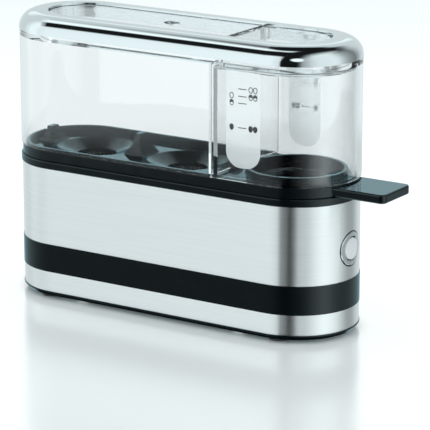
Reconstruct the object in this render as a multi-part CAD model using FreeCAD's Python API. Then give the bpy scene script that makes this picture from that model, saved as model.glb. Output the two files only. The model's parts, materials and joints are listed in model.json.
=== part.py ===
import FreeCAD, Part
import math
import os

# Egg cooker with a long, narrow body that has round ends.
# Units are millimetres, +Z is up and the table is at zero height.
# X runs along the body, with the handle and the button at +X, and -Y is the front.
# Shapes are made about the middle of the base, then moved so that the origin is the
# middle of the whole object's footprint, handle included.

V = FreeCAD.Vector

# Outline of the base, seen from above
BODY_LENGTH = 185.8
BODY_WIDTH = 60.0

# Heights of the visible layers, from the table up
FOOT_HEIGHT = 1.5
PLATE_THICKNESS = 2.5
SLEEVE_HEIGHT = 62.6
COLLAR_LIP_HEIGHT = 3.8
SHADOW_GAP = 0.3
TRAY_RIM_HEIGHT = 5.3
HOOD_WALL_HEIGHT = 57.2
FRAME_SIDE_HEIGHT = 0.3

# Clearances
SLIDE_CLEARANCE = 0.4
FIT_CLEARANCE = 0.2
SEAT_GAP = 0.05
LIFT_CLEARANCE = 0.6

# Steel sleeve and the band let into it
SLEEVE_WALL = 0.8
BAND_RISE = 10.0
BAND_HEIGHT = 14.2
BAND_GROOVE = 0.4
BAND_PROUD = 0.25

# Bottom plate, feet and the screws that hold the base together
PLATE_PROUD = 0.3
PLATE_CHAMFER = 1.8
PLATE_UPSTAND_HEIGHT = 6.0
PLATE_UPSTAND_WALL = 2.0
FOOT_RADIUS = 5.0
FOOT_RECESS = 0.8
FOOT_REACH = 4.0
FOOT_INSET = 8.0
POST_INSET = 17.0
POST_STANDOFF = 2.1
POST_RADIUS = 3.2
SCREW_RADIUS = 1.5
SCREW_HEAD_RADIUS = 2.8
SCREW_HEAD_HEIGHT = 1.4
SCREW_LENGTH = 14.0
SLOT_HALF_LENGTH = 1.5
SLOT_HALF_WIDTH = 0.4
SLOT_DEPTH = 0.7

# Collar
COLLAR_PROUD = 0.5
COLLAR_ROUND = 0.5
SKIRT_WALL = 2.3
SKIRT_DEPTH = 22.6
DECK_DROP = 2.1
DECK_THICKNESS = 2.0

# Heating dish, its seal and the pieces below it
DISH_RIGHT_CENTRE = 7.0
DISH_FLANGE = 2.1
DISH_WALL = 1.0
DISH_DEPTH = 10.5
DISH_CORNER = 4.0
SEAL_THICKNESS = 1.0
SPREADER_INSET = 5.0
SPREADER_RADIUS = 17.0
SPREADER_THICKNESS = 3.0
ELEMENT_RADIUS = 3.25
ELEMENT_LEG_Y = 13.0
ELEMENT_LEG_END = 12.0
BRAZE_GAP = 0.15
PIN_RADIUS = 1.25
PIN_LENGTH = 10.0
STUD_RADIUS = 2.0
STUD_LENGTH = 20.0
STUD_GAP = 1.7
BRIDGE_WIDTH = 10.0
BRIDGE_THICKNESS = 1.5
NUT_ACROSS_FLATS = 7.0
NUT_HEIGHT = 3.0
SHIELD_MARGIN = 6.2
SHIELD_THICKNESS = 0.8
SHIELD_WINDOW = 13.0

# Thermostat and thermal fuse
THERMOSTAT_CAP_RADIUS = 8.0
THERMOSTAT_CAP_HEIGHT = 6.0
THERMOSTAT_BODY_RADIUS = 6.5
THERMOSTAT_BODY_HEIGHT = 6.0
TAB_PITCH = 8.0
TAB_WIDTH = 5.0
TAB_THICKNESS = 0.8
TAB_LENGTH = 5.0
BRACKET_HALF_LENGTH = 15.0
BRACKET_HALF_WIDTH = 5.0
BRACKET_THICKNESS = 1.0
BRACKET_SCREW_X = 11.5
FUSE_RADIUS = 2.2
FUSE_LENGTH = 10.0
FUSE_SPACING = 11.0
CLIP_WALL = 1.0
CLIP_LENGTH = 4.0

# Button, its guide and the switch behind it
BUTTON_HEIGHT = 43.1
BUTTON_RADIUS = 5.3
BUTTON_GAP = 0.55
BUTTON_TRAVEL = 2.2
BUTTON_PROUD = 0.3
BEZEL_WIDTH = 2.3
BEZEL_PROUD = 0.35
BEZEL_DEPTH = 7.0
BEZEL_EDGE = 0.4
BUTTON_EDGE = 0.5
FLANGE_STEP = 1.2
FLANGE_THICKNESS = 2.0
STEM_RADIUS = 3.0
GUIDE_LENGTH = 15.0
GUIDE_WALL = 1.3
BRACKET_PLATE = 3.0
BRACKET_PLATE_HALF = 14.0
BRACKET_FOOT_LENGTH = 13.0
BRACKET_FOOT_THICKNESS = 2.5
BRACKET_RISE = 12.0
RIB_THICKNESS = 1.5
RIB_HEIGHT = 24.0
SWITCH_LENGTH = 14.0
SWITCH_HALF_WIDTH = 4.0
SWITCH_HALF_HEIGHT = 6.0
PLUNGER_RADIUS = 1.1
PLUNGER_LENGTH = 7.5
PLUNGER_BORE_DEPTH = 8.0
SPRING_RADIUS = 4.9
SPRING_WIRE_RADIUS = 0.35
SPRING_TURNS = 6

# Terminal block, cord bush and leads
BLOCK_GAP = 2.0
BLOCK_Y = -2.0
BLOCK_LENGTH = 26.0
BLOCK_WIDTH = 16.0
BLOCK_HEIGHT = 13.0
POLE_PITCH = 8.0
POLE_HEIGHT = 6.0
POLE_SCREW_RADIUS = 2.0
POLE_SCREW_HEIGHT = 1.0
BUSH_SPACING = 14.0
BUSH_BORE_RADIUS = 3.4
BUSH_WALL = 1.2
BUSH_FLANGE = 1.6
BUSH_FLANGE_THICKNESS = 0.5
BUSH_NUT_THICKNESS = 3.0
BUSH_LENGTH = 12.0
LEAD_RADIUS = 1.0
LEAD_BEND = 2.6
EARTH_TAG_RADIUS = 4.0
EARTH_TAG_THICKNESS = 1.0
EARTH_BARREL_RADIUS = 1.6
EARTH_BARREL_LENGTH = 6.0

# Heights, depths and turning points of the leads below the heat shield
EARTH_RUN_Z = 19.0
BLOCK_LEAD_GAP = 2.0
CROSSING_GAP = 1.5
LIVE_LEAD_DROP = 5.0
NEUTRAL_LEAD_RISE = 5.0
POLE_LEAD_INSET = 6.6
NEUTRAL_LEAD_INSET = 8.1
FUSE_LEAD_INSET = 3.6
PIN_LEAD_REACH = 9.0
NEUTRAL_LEAD_REACH = 15.0
FUSE_LEAD_REACH = 3.0

# Egg tray
TRAY_INSET = 0.3
TRAY_STEP = 0.6
TRAY_WALL = 1.6
TRAY_SKIRT_DEPTH = 3.6
TRAY_RIM_WALL = 3.9
TRAY_EDGE = 0.6
TRAY_DECK_DROP = 2.3
TRAY_DECK = 2.0
UPSTAND_WALL = 1.6
UPSTAND_HEIGHT = 0.8
EGG_ROW_CENTRE = -26.5
EGG_PITCH = 54.0
SEAT_HOLE_RADIUS = 10.0
SEAT_MOUTH_RADIUS = 20.0
SEAT_DEPTH = 3.6
SEAT_WALL = 2.0
MIDDLE_POST_RISE = 8.0
END_POST_RISE = 5.0
EGG_POST_TOP = 1.4
EGG_POST_BASE = 6.0
EGG_POST_WAIST = 2.4
EGG_POST_DEPTH_TOP = 2.6
EGG_POST_DEPTH_BASE = 7.0
PLUG_RADIUS = 24.0
PLUG_HEIGHT = 3.5
PLUG_RIM = 1.8
WELL_DEPTH = 9.0
WELL_WALL = 1.6
WELL_DRAFT = 0.8
WELL_CORNER = 3.5
HANDLE_REACH = 24.3
HANDLE_WIDTH = 26.0
HANDLE_THICKNESS = 4.3
HANDLE_CORNER = 3.0
HANDLE_EDGE = 0.8

# Clear hood
HOOD_PROUD = 0.4
HOOD_WALL = 2.0
CEILING_THICKNESS = 3.2
PANEL_THICKNESS = 2.0
PANEL_RECESS = 1.2
PANEL_GAP = 0.4
PANEL_EDGE = 0.6
PARTITION_INSET = 31.3
PARTITION_THICKNESS = 1.6
PARTITION_LIFT = 1.2
VENT_X = -8.8
VENT_RADIUS = 4.0

# Chrome frame
FRAME_PROUD = 0.6
FRAME_WALL = 1.6
FRAME_SHOULDER = 8.3
FRAME_CROWN_ANGLE = 1.0
FRAME_CROWN_END = 10.0
OPENING_LENGTH = 157.4
OPENING_WIDTH = 35.6

# Measuring cup
CUP_CLEARANCE = 0.8
CUP_PARTITION_GAP = 0.5
CUP_WALL = 1.6
CUP_BEAD = 0.4
CUP_BEAD_HEIGHT = 1.2
CUP_EDGE = 1.0
SCALE_INSET = 12.6
SCALE_WIDTH = 18.8
SCALE_BOTTOM_RISE = 6.2
SCALE_TOP_DROP = 1.2
SCALE_CORNER = 8.0
SCALE_THICKNESS = 0.3

# Values that follow from the sizes above
END_RADIUS = BODY_WIDTH / 2
SPINE = BODY_LENGTH / 2 - END_RADIUS
PLATE_TOP = FOOT_HEIGHT + PLATE_THICKNESS
POST_BOTTOM = PLATE_TOP + PLATE_UPSTAND_HEIGHT
POST_X = SPINE - POST_INSET
FOOT_X = SPINE + FOOT_REACH
FOOT_Y = END_RADIUS - FOOT_INSET
SLEEVE_TOP = PLATE_TOP + SLEEVE_HEIGHT
COLLAR_TOP = SLEEVE_TOP + COLLAR_LIP_HEIGHT
TRAY_TOP = COLLAR_TOP + SHADOW_GAP + TRAY_RIM_HEIGHT
HOOD_SHOULDER = TRAY_TOP + HOOD_WALL_HEIGHT
BAND_BOTTOM = PLATE_TOP + BAND_RISE
BAND_TOP = BAND_BOTTOM + BAND_HEIGHT
SLEEVE_INNER = END_RADIUS - SLEEVE_WALL
SKIRT_OUTER = SLEEVE_INNER - FIT_CLEARANCE
SKIRT_INNER = SKIRT_OUTER - SKIRT_WALL
SKIRT_BOTTOM = SLEEVE_TOP - SKIRT_DEPTH
POST_Y = SKIRT_INNER - POST_STANDOFF
DECK_TOP = SLEEVE_TOP - DECK_DROP
DECK_BOTTOM = DECK_TOP - DECK_THICKNESS
TRAY_RADIUS = END_RADIUS - TRAY_INSET
TRAY_SKIRT_OUTER = SKIRT_INNER - SLIDE_CLEARANCE
TRAY_SKIRT_BOTTOM = COLLAR_TOP - TRAY_SKIRT_DEPTH
TRAY_RIM_INNER = TRAY_RADIUS - TRAY_RIM_WALL
TRAY_DECK_TOP = TRAY_TOP - TRAY_DECK_DROP
TRAY_DECK_BOTTOM = TRAY_DECK_TOP - TRAY_DECK
DISH_FLANGE_RADIUS = SKIRT_INNER - SLIDE_CLEARANCE
DISH_RADIUS = DISH_FLANGE_RADIUS - DISH_FLANGE
DISH_FLANGE_BOTTOM = DECK_TOP + SEAL_THICKNESS
DISH_TOP = DISH_FLANGE_BOTTOM + DISH_WALL
DISH_BOTTOM = DISH_TOP - DISH_DEPTH - DISH_WALL
SPREADER_BOTTOM = DISH_BOTTOM - SPREADER_THICKNESS
SPREADER_LEFT = SPREADER_INSET - SPINE
SPREADER_RIGHT = DISH_RIGHT_CENTRE - SPREADER_INSET
SPREADER_MIDDLE = (SPREADER_LEFT + SPREADER_RIGHT) / 2
ELEMENT_HEIGHT = SPREADER_BOTTOM - BRAZE_GAP - ELEMENT_RADIUS
STUD_SPACING = BRACKET_SCREW_X + SCREW_HEAD_RADIUS + BRIDGE_WIDTH / 2 + STUD_GAP
STUD_PLACES = (SPREADER_LEFT, SPREADER_MIDDLE + STUD_SPACING)
STUD_BOTTOM = SPREADER_BOTTOM - STUD_LENGTH
BRIDGE_BOTTOM = SKIRT_BOTTOM - BRIDGE_THICKNESS
UPPER_NUT_BOTTOM = BRIDGE_BOTTOM - NUT_HEIGHT
SHIELD_RADIUS = SKIRT_INNER - SHIELD_MARGIN
SHIELD_BOTTOM = UPPER_NUT_BOTTOM - SHIELD_THICKNESS
LOWER_NUT_BOTTOM = SHIELD_BOTTOM - NUT_HEIGHT
PIN_END = ELEMENT_LEG_END + PIN_LENGTH
THERMOSTAT_CAP_BOTTOM = SPREADER_BOTTOM - THERMOSTAT_CAP_HEIGHT
THERMOSTAT_BOTTOM = THERMOSTAT_CAP_BOTTOM - THERMOSTAT_BODY_HEIGHT
FUSE_LEFT = STUD_PLACES[1] + FUSE_SPACING
FUSE_RIGHT = FUSE_LEFT + FUSE_LENGTH
FUSE_HEIGHT = SPREADER_BOTTOM - BRAZE_GAP - FUSE_RADIUS
BEZEL_INNER = BUTTON_RADIUS + BUTTON_GAP
BEZEL_OUTER = BEZEL_INNER + BEZEL_WIDTH
BEZEL_BACK = BODY_LENGTH / 2 - BEZEL_DEPTH
FLANGE_RADIUS = BUTTON_RADIUS + FLANGE_STEP
FLANGE_FRONT = BEZEL_BACK - FIT_CLEARANCE
FLANGE_BACK = FLANGE_FRONT - FLANGE_THICKNESS
GUIDE_BORE = FLANGE_RADIUS + SLIDE_CLEARANCE
GUIDE_OUTER = GUIDE_BORE + GUIDE_WALL
PLATE_FACE = BEZEL_BACK - GUIDE_LENGTH
PLATE_BACK = PLATE_FACE - BRACKET_PLATE
STEM_HOLE = STEM_RADIUS + SLIDE_CLEARANCE
STEM_END = PLATE_BACK + BUTTON_TRAVEL + FIT_CLEARANCE
SWITCH_BACK = PLATE_BACK - SWITCH_LENGTH
SWITCH_MIDDLE = SWITCH_BACK + SWITCH_LENGTH / 2
SWITCH_TAB_PLACES = (SWITCH_MIDDLE - TAB_PITCH / 2, SWITCH_MIDDLE + TAB_PITCH / 2)
SWITCH_TAB_END = BUTTON_HEIGHT - SWITCH_HALF_HEIGHT - TAB_LENGTH
BLOCK_X = PLATE_BACK - BRACKET_FOOT_LENGTH - BLOCK_GAP - BLOCK_LENGTH / 2
BLOCK_FRONT = BLOCK_Y - BLOCK_WIDTH / 2
BLOCK_TOP = PLATE_TOP + BLOCK_HEIGHT
POLE_Z = PLATE_TOP + POLE_HEIGHT
SWITCHED_RUN_Z = BLOCK_TOP + POLE_SCREW_HEIGHT + BLOCK_LEAD_GAP + LEAD_RADIUS
HEATER_RUN_Z = SWITCHED_RUN_Z + 2 * LEAD_RADIUS + CROSSING_GAP
LIVE_RUN_Z = SWITCH_TAB_END - LIVE_LEAD_DROP
NEUTRAL_RUN_Z = LIVE_RUN_Z + NEUTRAL_LEAD_RISE
EARTH_STUD_X = STUD_PLACES[1]
EARTH_TAG_BOTTOM = LOWER_NUT_BOTTOM - EARTH_TAG_THICKNESS
EARTH_BARREL_Z = EARTH_TAG_BOTTOM - EARTH_TAG_THICKNESS
EARTH_BARREL_END = -EARTH_TAG_RADIUS - EARTH_BARREL_LENGTH
POLE_RUN_Y = POLE_LEAD_INSET - POST_Y
NEUTRAL_RUN_Y = NEUTRAL_LEAD_INSET - POST_Y
FUSE_RUN_Y = FUSE_LEAD_INSET - POST_Y
FUSE_RUN_Z = (UPPER_NUT_BOTTOM + BRIDGE_BOTTOM) / 2
PIN_TURN_X = PIN_END + PIN_LEAD_REACH
NEUTRAL_TURN_X = PIN_END + NEUTRAL_LEAD_REACH
FUSE_TURN_X = FUSE_LEFT - FUSE_LEAD_REACH
BUSH_Z = (BAND_BOTTOM + BAND_TOP) / 2
BUSH_X = POST_X - BUSH_SPACING
BUSH_RADIUS = BUSH_BORE_RADIUS + BUSH_WALL
BUSH_HOLE = BUSH_RADIUS + SEAT_GAP
HOOD_OUTER = END_RADIUS + HOOD_PROUD
HOOD_INNER = HOOD_OUTER - HOOD_WALL
CEILING_BOTTOM = HOOD_SHOULDER - CEILING_THICKNESS
OPENING_RADIUS = OPENING_WIDTH / 2
OPENING_SPINE = OPENING_LENGTH / 2 - OPENING_RADIUS
PANEL_RADIUS = OPENING_RADIUS - PANEL_GAP
PARTITION_X = SPINE - PARTITION_INSET
PARTITION_RIGHT = PARTITION_X + PARTITION_THICKNESS
PANEL_END = PARTITION_X + PANEL_GAP
FRAME_OUTER = END_RADIUS + FRAME_PROUD
SHOULDER_CENTRE_R = FRAME_OUTER - FRAME_SHOULDER
SHOULDER_CENTRE_Z = HOOD_SHOULDER + FRAME_SIDE_HEIGHT
CROWN_SINE = math.sin(math.radians(FRAME_CROWN_ANGLE))
CROWN_COSINE = math.cos(math.radians(FRAME_CROWN_ANGLE))
CROWN_START_R = SHOULDER_CENTRE_R + FRAME_SHOULDER * CROWN_SINE
CROWN_START_Z = SHOULDER_CENTRE_Z + FRAME_SHOULDER * CROWN_COSINE
CROWN_RADIUS = (CROWN_START_R - FRAME_CROWN_END) / CROWN_SINE
CROWN_CENTRE_Z = CROWN_START_Z - CROWN_RADIUS * CROWN_COSINE
FRAME_TOP = CROWN_CENTRE_Z + CROWN_RADIUS
PANEL_TOP = FRAME_TOP - PANEL_RECESS
SCALE_X = SPINE - SCALE_INSET
CUP_OUTER = HOOD_INNER - CUP_CLEARANCE
CUP_LEFT = PARTITION_RIGHT + CUP_PARTITION_GAP
CUP_SHOULDER = CEILING_BOTTOM - LIFT_CLEARANCE
CUP_PANEL_RADIUS = OPENING_RADIUS - CUP_CLEARANCE
HANDLE_TIP = BODY_LENGTH / 2 + HANDLE_REACH
HANDLE_BOTTOM = COLLAR_TOP + SHADOW_GAP
ORIGIN_X = (HANDLE_TIP - SPINE - FRAME_OUTER) / 2
FAR = 2 * (BODY_LENGTH + HANDLE_REACH)
TOUCH = 0.001


# Basic shapes

def box(x_low, x_high, y_low, y_high, z_low, z_high):
    corner = V(x_low, y_low, z_low)
    return Part.makeBox(x_high - x_low, y_high - y_low, z_high - z_low, corner)


def upright(radius, x, y, z_low, z_high):
    return Part.makeCylinder(radius, z_high - z_low, V(x, y, z_low))


def along_x(radius, x_low, x_high, y, z):
    return Part.makeCylinder(radius, x_high - x_low, V(x_low, y, z), V(1, 0, 0))


def along_y(radius, y_low, y_high, x, z):
    return Part.makeCylinder(radius, y_high - y_low, V(x, y_low, z), V(0, 1, 0))


def run(x_left, x_right, radius, z_low, z_high):
    """A bar with round ends: the centres of its ends are at x_left and x_right."""
    ends = [upright(radius, x, 0, z_low, z_high) for x in (x_left, x_right)]
    middle = box(x_left, x_right, -radius, radius, z_low, z_high)
    return joined([middle] + ends)


def body_run(radius, z_low, z_high):
    """A bar on the body's own line of centres."""
    return run(-SPINE, SPINE, radius, z_low, z_high)


def right_of(x):
    return box(x, FAR, -FAR, FAR, -FAR, FAR)


def left_of(x):
    return box(-FAR, x, -FAR, FAR, -FAR, FAR)


def joined(shapes):
    first = shapes[0]
    return first.fuse(shapes[1:]).removeSplitter()


def group(shapes):
    return Part.makeCompound(shapes)


def ring(outer, inner, z_low, z_high):
    return body_run(outer, z_low, z_high).cut(body_run(inner, z_low, z_high))


def level_edges(shape, height):
    """The edges that lie in one level plane."""
    found = []
    for edge in shape.Edges:
        bounds = edge.BoundBox
        if abs(bounds.ZMin - height) < TOUCH and abs(bounds.ZMax - height) < TOUCH:
            found.append(edge)
    return found


def edges_right_of(edges, x):
    return [edge for edge in edges if edge.BoundBox.XMin > x]


def outer_level_edges(shape, height, radius):
    """Level edges of a bar on the body's line of centres, at one distance from that line."""
    found = []
    for edge in level_edges(shape, height):
        middle = edge.valueAt((edge.FirstParameter + edge.LastParameter) / 2)
        nearest = max(-SPINE, min(SPINE, middle.x))
        if abs(math.hypot(middle.x - nearest, middle.y) - radius) < TOUCH:
            found.append(edge)
    return found


def cross_slot(x, y, z_low, z_high):
    """Two crossed bars, to be cut from a screw's head."""
    long, short = SLOT_HALF_LENGTH, SLOT_HALF_WIDTH
    return joined([
        box(x - long, x + long, y - short, y + short, z_low, z_high),
        box(x - short, x + short, y - long, y + long, z_low, z_high),
    ])


def screw(x, y, head_low, tip):
    """A pan screw whose head starts at head_low and whose shank ends at tip."""
    onward = 1 if tip > head_low else -1
    head_far = head_low + SCREW_HEAD_HEIGHT * onward
    slot_far = head_low + SLOT_DEPTH * onward
    head = upright(SCREW_HEAD_RADIUS, x, y, min(head_low, head_far), max(head_low, head_far))
    shank = upright(SCREW_RADIUS, x, y, min(head_low, tip), max(head_low, tip))
    slot = cross_slot(x, y, min(head_low, slot_far), max(head_low, slot_far))
    return joined([head, shank]).cut(slot)


def rounded_path(points, bend):
    """Straight runs joined by tangent arcs."""
    edges = []
    start = points[0]
    for before, corner, after in zip(points, points[1:], points[2:]):
        arriving = (corner - before).normalize()
        leaving = (after - corner).normalize()
        turn = arriving.getAngle(leaving)
        setback = bend * math.tan(turn / 2)
        arc_start = corner - arriving * setback
        arc_end = corner + leaving * setback
        inward = (leaving - arriving).normalize()
        depth = bend / math.cos(turn / 2) - bend
        edges.append(Part.LineSegment(start, arc_start).toShape())
        edges.append(Part.Arc(arc_start, corner + inward * depth, arc_end).toShape())
        start = arc_end
    edges.append(Part.LineSegment(start, points[-1]).toShape())
    return Part.Wire(edges)


def swept(path, radius, start, direction):
    section = Part.Wire([Part.makeCircle(radius, start, direction)])
    return path.makePipeShell([section], True, False)


def lead(points):
    corners = [V(*point) for point in points]
    path = rounded_path(corners, LEAD_BEND)
    return swept(path, LEAD_RADIUS, corners[0], corners[1] - corners[0])


# Base: the outside

def post_places():
    return [(x, y) for x in (-POST_X, POST_X) for y in (-POST_Y, POST_Y)]


def foot_places():
    return [(x, y) for x in (-FOOT_X, FOOT_X) for y in (-FOOT_Y, FOOT_Y)]


def bottom_plate():
    outer = END_RADIUS + PLATE_PROUD
    plate = body_run(outer, FOOT_HEIGHT, PLATE_TOP)
    plate = plate.makeChamfer(PLATE_CHAMFER, level_edges(plate, FOOT_HEIGHT))
    upstand_outer = SLEEVE_INNER - FIT_CLEARANCE
    upstand = ring(upstand_outer, upstand_outer - PLATE_UPSTAND_WALL, PLATE_TOP, POST_BOTTOM)
    bosses = [upright(POST_RADIUS, x, y, PLATE_TOP, POST_BOTTOM) for x, y in post_places()]
    plate = joined([plate, upstand] + bosses)
    cuts = [upright(FOOT_RADIUS + SEAT_GAP, x, y, 0, FOOT_HEIGHT + FOOT_RECESS) for x, y in foot_places()]
    head_room = FOOT_HEIGHT + SCREW_HEAD_HEIGHT
    for x, y in post_places():
        cuts.append(upright(SCREW_HEAD_RADIUS + FIT_CLEARANCE, x, y, 0, head_room))
        cuts.append(upright(SCREW_RADIUS + FIT_CLEARANCE, x, y, 0, POST_BOTTOM))
    for x, y in bracket_screw_places():
        cuts.append(upright(SCREW_RADIUS, x, y, FOOT_HEIGHT + FOOT_RECESS, PLATE_TOP))
    return plate.cut(cuts)


def rubber_feet():
    feet = []
    for x, y in foot_places():
        foot = upright(FOOT_RADIUS, x, y, 0, FOOT_HEIGHT + FOOT_RECESS)
        feet.append(foot.makeFillet(FOOT_RECESS / 2, level_edges(foot, 0)))
    return group(feet)


def base_screws():
    head_low = FOOT_HEIGHT
    return group([screw(x, y, head_low, head_low + SCREW_LENGTH) for x, y in post_places()])


def button_axis_cut(radius):
    return along_x(radius, SPINE, FAR, 0, BUTTON_HEIGHT)


def bush_axis_cut():
    return along_y(BUSH_HOLE, 0, FAR, BUSH_X, BUSH_Z)


def base_sleeve():
    tube = ring(END_RADIUS, SLEEVE_INNER, PLATE_TOP, SLEEVE_TOP)
    groove_outer = END_RADIUS - BAND_GROOVE
    groove_inner = groove_outer - SLEEVE_WALL
    fold_bottom = BAND_BOTTOM - SLEEVE_WALL
    fold_top = BAND_TOP + SLEEVE_WALL
    fold = ring(SLEEVE_INNER, groove_inner, fold_bottom, fold_top)
    groove = ring(END_RADIUS, groove_outer, BAND_BOTTOM, BAND_TOP)
    tube = joined([tube, fold])
    return tube.cut([groove, button_axis_cut(BEZEL_OUTER + BUTTON_GAP), bush_axis_cut()])


def trim_band():
    inner = END_RADIUS - BAND_GROOVE + SEAT_GAP
    band = ring(END_RADIUS + BAND_PROUD, inner, BAND_BOTTOM + SEAT_GAP, BAND_TOP - SEAT_GAP)
    return band.cut(bush_axis_cut())


def base_collar():
    outer = END_RADIUS + COLLAR_PROUD
    lip = body_run(outer, SLEEVE_TOP, COLLAR_TOP)
    lip_edges = outer_level_edges(lip, COLLAR_TOP, outer) + outer_level_edges(lip, SLEEVE_TOP, outer)
    lip = lip.makeFillet(COLLAR_ROUND, lip_edges).cut(body_run(SKIRT_INNER, SLEEVE_TOP, COLLAR_TOP))
    skirt = ring(SKIRT_OUTER, SKIRT_INNER, SKIRT_BOTTOM, SLEEVE_TOP)
    deck = body_run(SKIRT_INNER, DECK_BOTTOM, DECK_TOP)
    hole = run(-SPINE, DISH_RIGHT_CENTRE, DISH_RADIUS + SLIDE_CLEARANCE, DECK_BOTTOM, DECK_TOP)
    deck = deck.cut(hole)
    post_top = DISH_BOTTOM - FIT_CLEARANCE
    posts = [upright(POST_RADIUS, x, y, POST_BOTTOM, post_top) for x, y in post_places()]
    inside = body_run(SKIRT_OUTER, POST_BOTTOM, post_top)
    posts = [post.common(inside) for post in posts]
    pilots = [upright(SCREW_RADIUS, x, y, POST_BOTTOM, FOOT_HEIGHT + SCREW_LENGTH) for x, y in post_places()]
    notch_half = BEZEL_OUTER + LIFT_CLEARANCE
    notch = box(SPINE, FAR, -notch_half, notch_half, SKIRT_BOTTOM, BUTTON_HEIGHT + notch_half)
    return joined([lip, skirt, deck] + posts).cut(pilots + [notch])


def cord_bush():
    wall_face = END_RADIUS + BAND_PROUD
    body = along_y(BUSH_RADIUS, wall_face - BUSH_LENGTH, wall_face, BUSH_X, BUSH_Z)
    flange_radius = BUSH_RADIUS + BUSH_FLANGE
    flange = along_y(flange_radius, wall_face, wall_face + BUSH_FLANGE_THICKNESS, BUSH_X, BUSH_Z)
    groove_inner = END_RADIUS - BAND_GROOVE - SLEEVE_WALL
    nut = along_y(flange_radius, groove_inner - BUSH_NUT_THICKNESS, groove_inner, BUSH_X, BUSH_Z)
    bore = along_y(BUSH_BORE_RADIUS, 0, FAR, BUSH_X, BUSH_Z)
    return joined([body, flange, nut]).cut(bore)


# Base: the heating dish and what hangs below it

def dish_run(radius, z_low, z_high):
    return run(-SPINE, DISH_RIGHT_CENTRE, radius, z_low, z_high)


def heating_dish():
    pan = dish_run(DISH_RADIUS, DISH_BOTTOM, DISH_TOP)
    pan = pan.makeFillet(DISH_CORNER, level_edges(pan, DISH_BOTTOM))
    flange = dish_run(DISH_FLANGE_RADIUS, DISH_FLANGE_BOTTOM, DISH_TOP)
    hollow = dish_run(DISH_RADIUS - DISH_WALL, DISH_BOTTOM + DISH_WALL, DISH_TOP)
    hollow = hollow.makeFillet(DISH_CORNER - DISH_WALL, level_edges(hollow, DISH_BOTTOM + DISH_WALL))
    return joined([pan, flange]).cut(hollow)


def dish_seal():
    outer = dish_run(DISH_FLANGE_RADIUS, DECK_TOP, DISH_FLANGE_BOTTOM)
    return outer.cut(dish_run(DISH_RADIUS + SLIDE_CLEARANCE, DECK_TOP, DISH_FLANGE_BOTTOM))


def thermostat_screw_places():
    return [SPREADER_MIDDLE - BRACKET_SCREW_X, SPREADER_MIDDLE + BRACKET_SCREW_X]


def fuse_screw_place():
    x = (FUSE_LEFT + FUSE_RIGHT) / 2
    y = FUSE_RADIUS + CLIP_WALL + FIT_CLEARANCE + SCREW_HEAD_RADIUS
    return x, y


def heat_spreader():
    plate = run(SPREADER_LEFT, SPREADER_RIGHT, SPREADER_RADIUS, SPREADER_BOTTOM, DISH_BOTTOM)
    screw_top = SPREADER_BOTTOM + SPREADER_THICKNESS / 2
    holes = [upright(SCREW_RADIUS, x, 0, SPREADER_BOTTOM, screw_top) for x in thermostat_screw_places()]
    clip_x, clip_y = fuse_screw_place()
    holes.append(upright(SCREW_RADIUS, clip_x, clip_y, SPREADER_BOTTOM, screw_top))
    return plate.cut(holes)


def heating_element():
    bend_x = SPREADER_LEFT + ELEMENT_RADIUS
    front = V(ELEMENT_LEG_END, -ELEMENT_LEG_Y, ELEMENT_HEIGHT)
    front_bend = V(bend_x, -ELEMENT_LEG_Y, ELEMENT_HEIGHT)
    far_end = V(bend_x - ELEMENT_LEG_Y, 0, ELEMENT_HEIGHT)
    rear_bend = V(bend_x, ELEMENT_LEG_Y, ELEMENT_HEIGHT)
    rear = V(ELEMENT_LEG_END, ELEMENT_LEG_Y, ELEMENT_HEIGHT)
    edges = [
        Part.LineSegment(front, front_bend).toShape(),
        Part.Arc(front_bend, far_end, rear_bend).toShape(),
        Part.LineSegment(rear_bend, rear).toShape(),
    ]
    return swept(Part.Wire(edges), ELEMENT_RADIUS, front, V(-1, 0, 0))


def element_pins():
    legs = (-ELEMENT_LEG_Y, ELEMENT_LEG_Y)
    return group([along_x(PIN_RADIUS, ELEMENT_LEG_END, PIN_END, y, ELEMENT_HEIGHT) for y in legs])


def dish_studs():
    return group([upright(STUD_RADIUS, x, 0, STUD_BOTTOM, SPREADER_BOTTOM) for x in STUD_PLACES])


def dish_bridges():
    bars = []
    for x in STUD_PLACES:
        half = BRIDGE_WIDTH / 2
        bar = box(x - half, x + half, -SKIRT_OUTER, SKIRT_OUTER, BRIDGE_BOTTOM, SKIRT_BOTTOM)
        hole = upright(STUD_RADIUS + FIT_CLEARANCE, x, 0, BRIDGE_BOTTOM, SKIRT_BOTTOM)
        bars.append(bar.cut(hole))
    return group(bars)


def hex_nut(x, z_low):
    corner = NUT_ACROSS_FLATS / math.sqrt(3)
    points = []
    for step in range(7):
        angle = math.radians(60 * step)
        points.append(V(x + corner * math.cos(angle), corner * math.sin(angle), z_low))
    blank = Part.Face(Part.makePolygon(points)).extrude(V(0, 0, NUT_HEIGHT))
    return blank.cut(upright(STUD_RADIUS + SEAT_GAP, x, 0, z_low, z_low + NUT_HEIGHT))


def stud_nuts():
    return group([hex_nut(x, z) for x in STUD_PLACES for z in (UPPER_NUT_BOTTOM, LOWER_NUT_BOTTOM)])


def heat_shield():
    sheet = run(SPREADER_LEFT, SPREADER_RIGHT, SHIELD_RADIUS, SHIELD_BOTTOM, UPPER_NUT_BOTTOM)
    holes = [upright(STUD_RADIUS + FIT_CLEARANCE, x, 0, SHIELD_BOTTOM, UPPER_NUT_BOTTOM) for x in STUD_PLACES]
    holes.append(upright(SHIELD_WINDOW, SPREADER_MIDDLE, 0, SHIELD_BOTTOM, UPPER_NUT_BOTTOM))
    return sheet.cut(holes)


def thermostat_tab_places():
    return (SPREADER_MIDDLE - TAB_PITCH / 2, SPREADER_MIDDLE + TAB_PITCH / 2)


def tab(x, z_high):
    half_width = TAB_WIDTH / 2
    half_thickness = TAB_THICKNESS / 2
    return box(x - half_thickness, x + half_thickness, -half_width, half_width, z_high - TAB_LENGTH, z_high)


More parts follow.
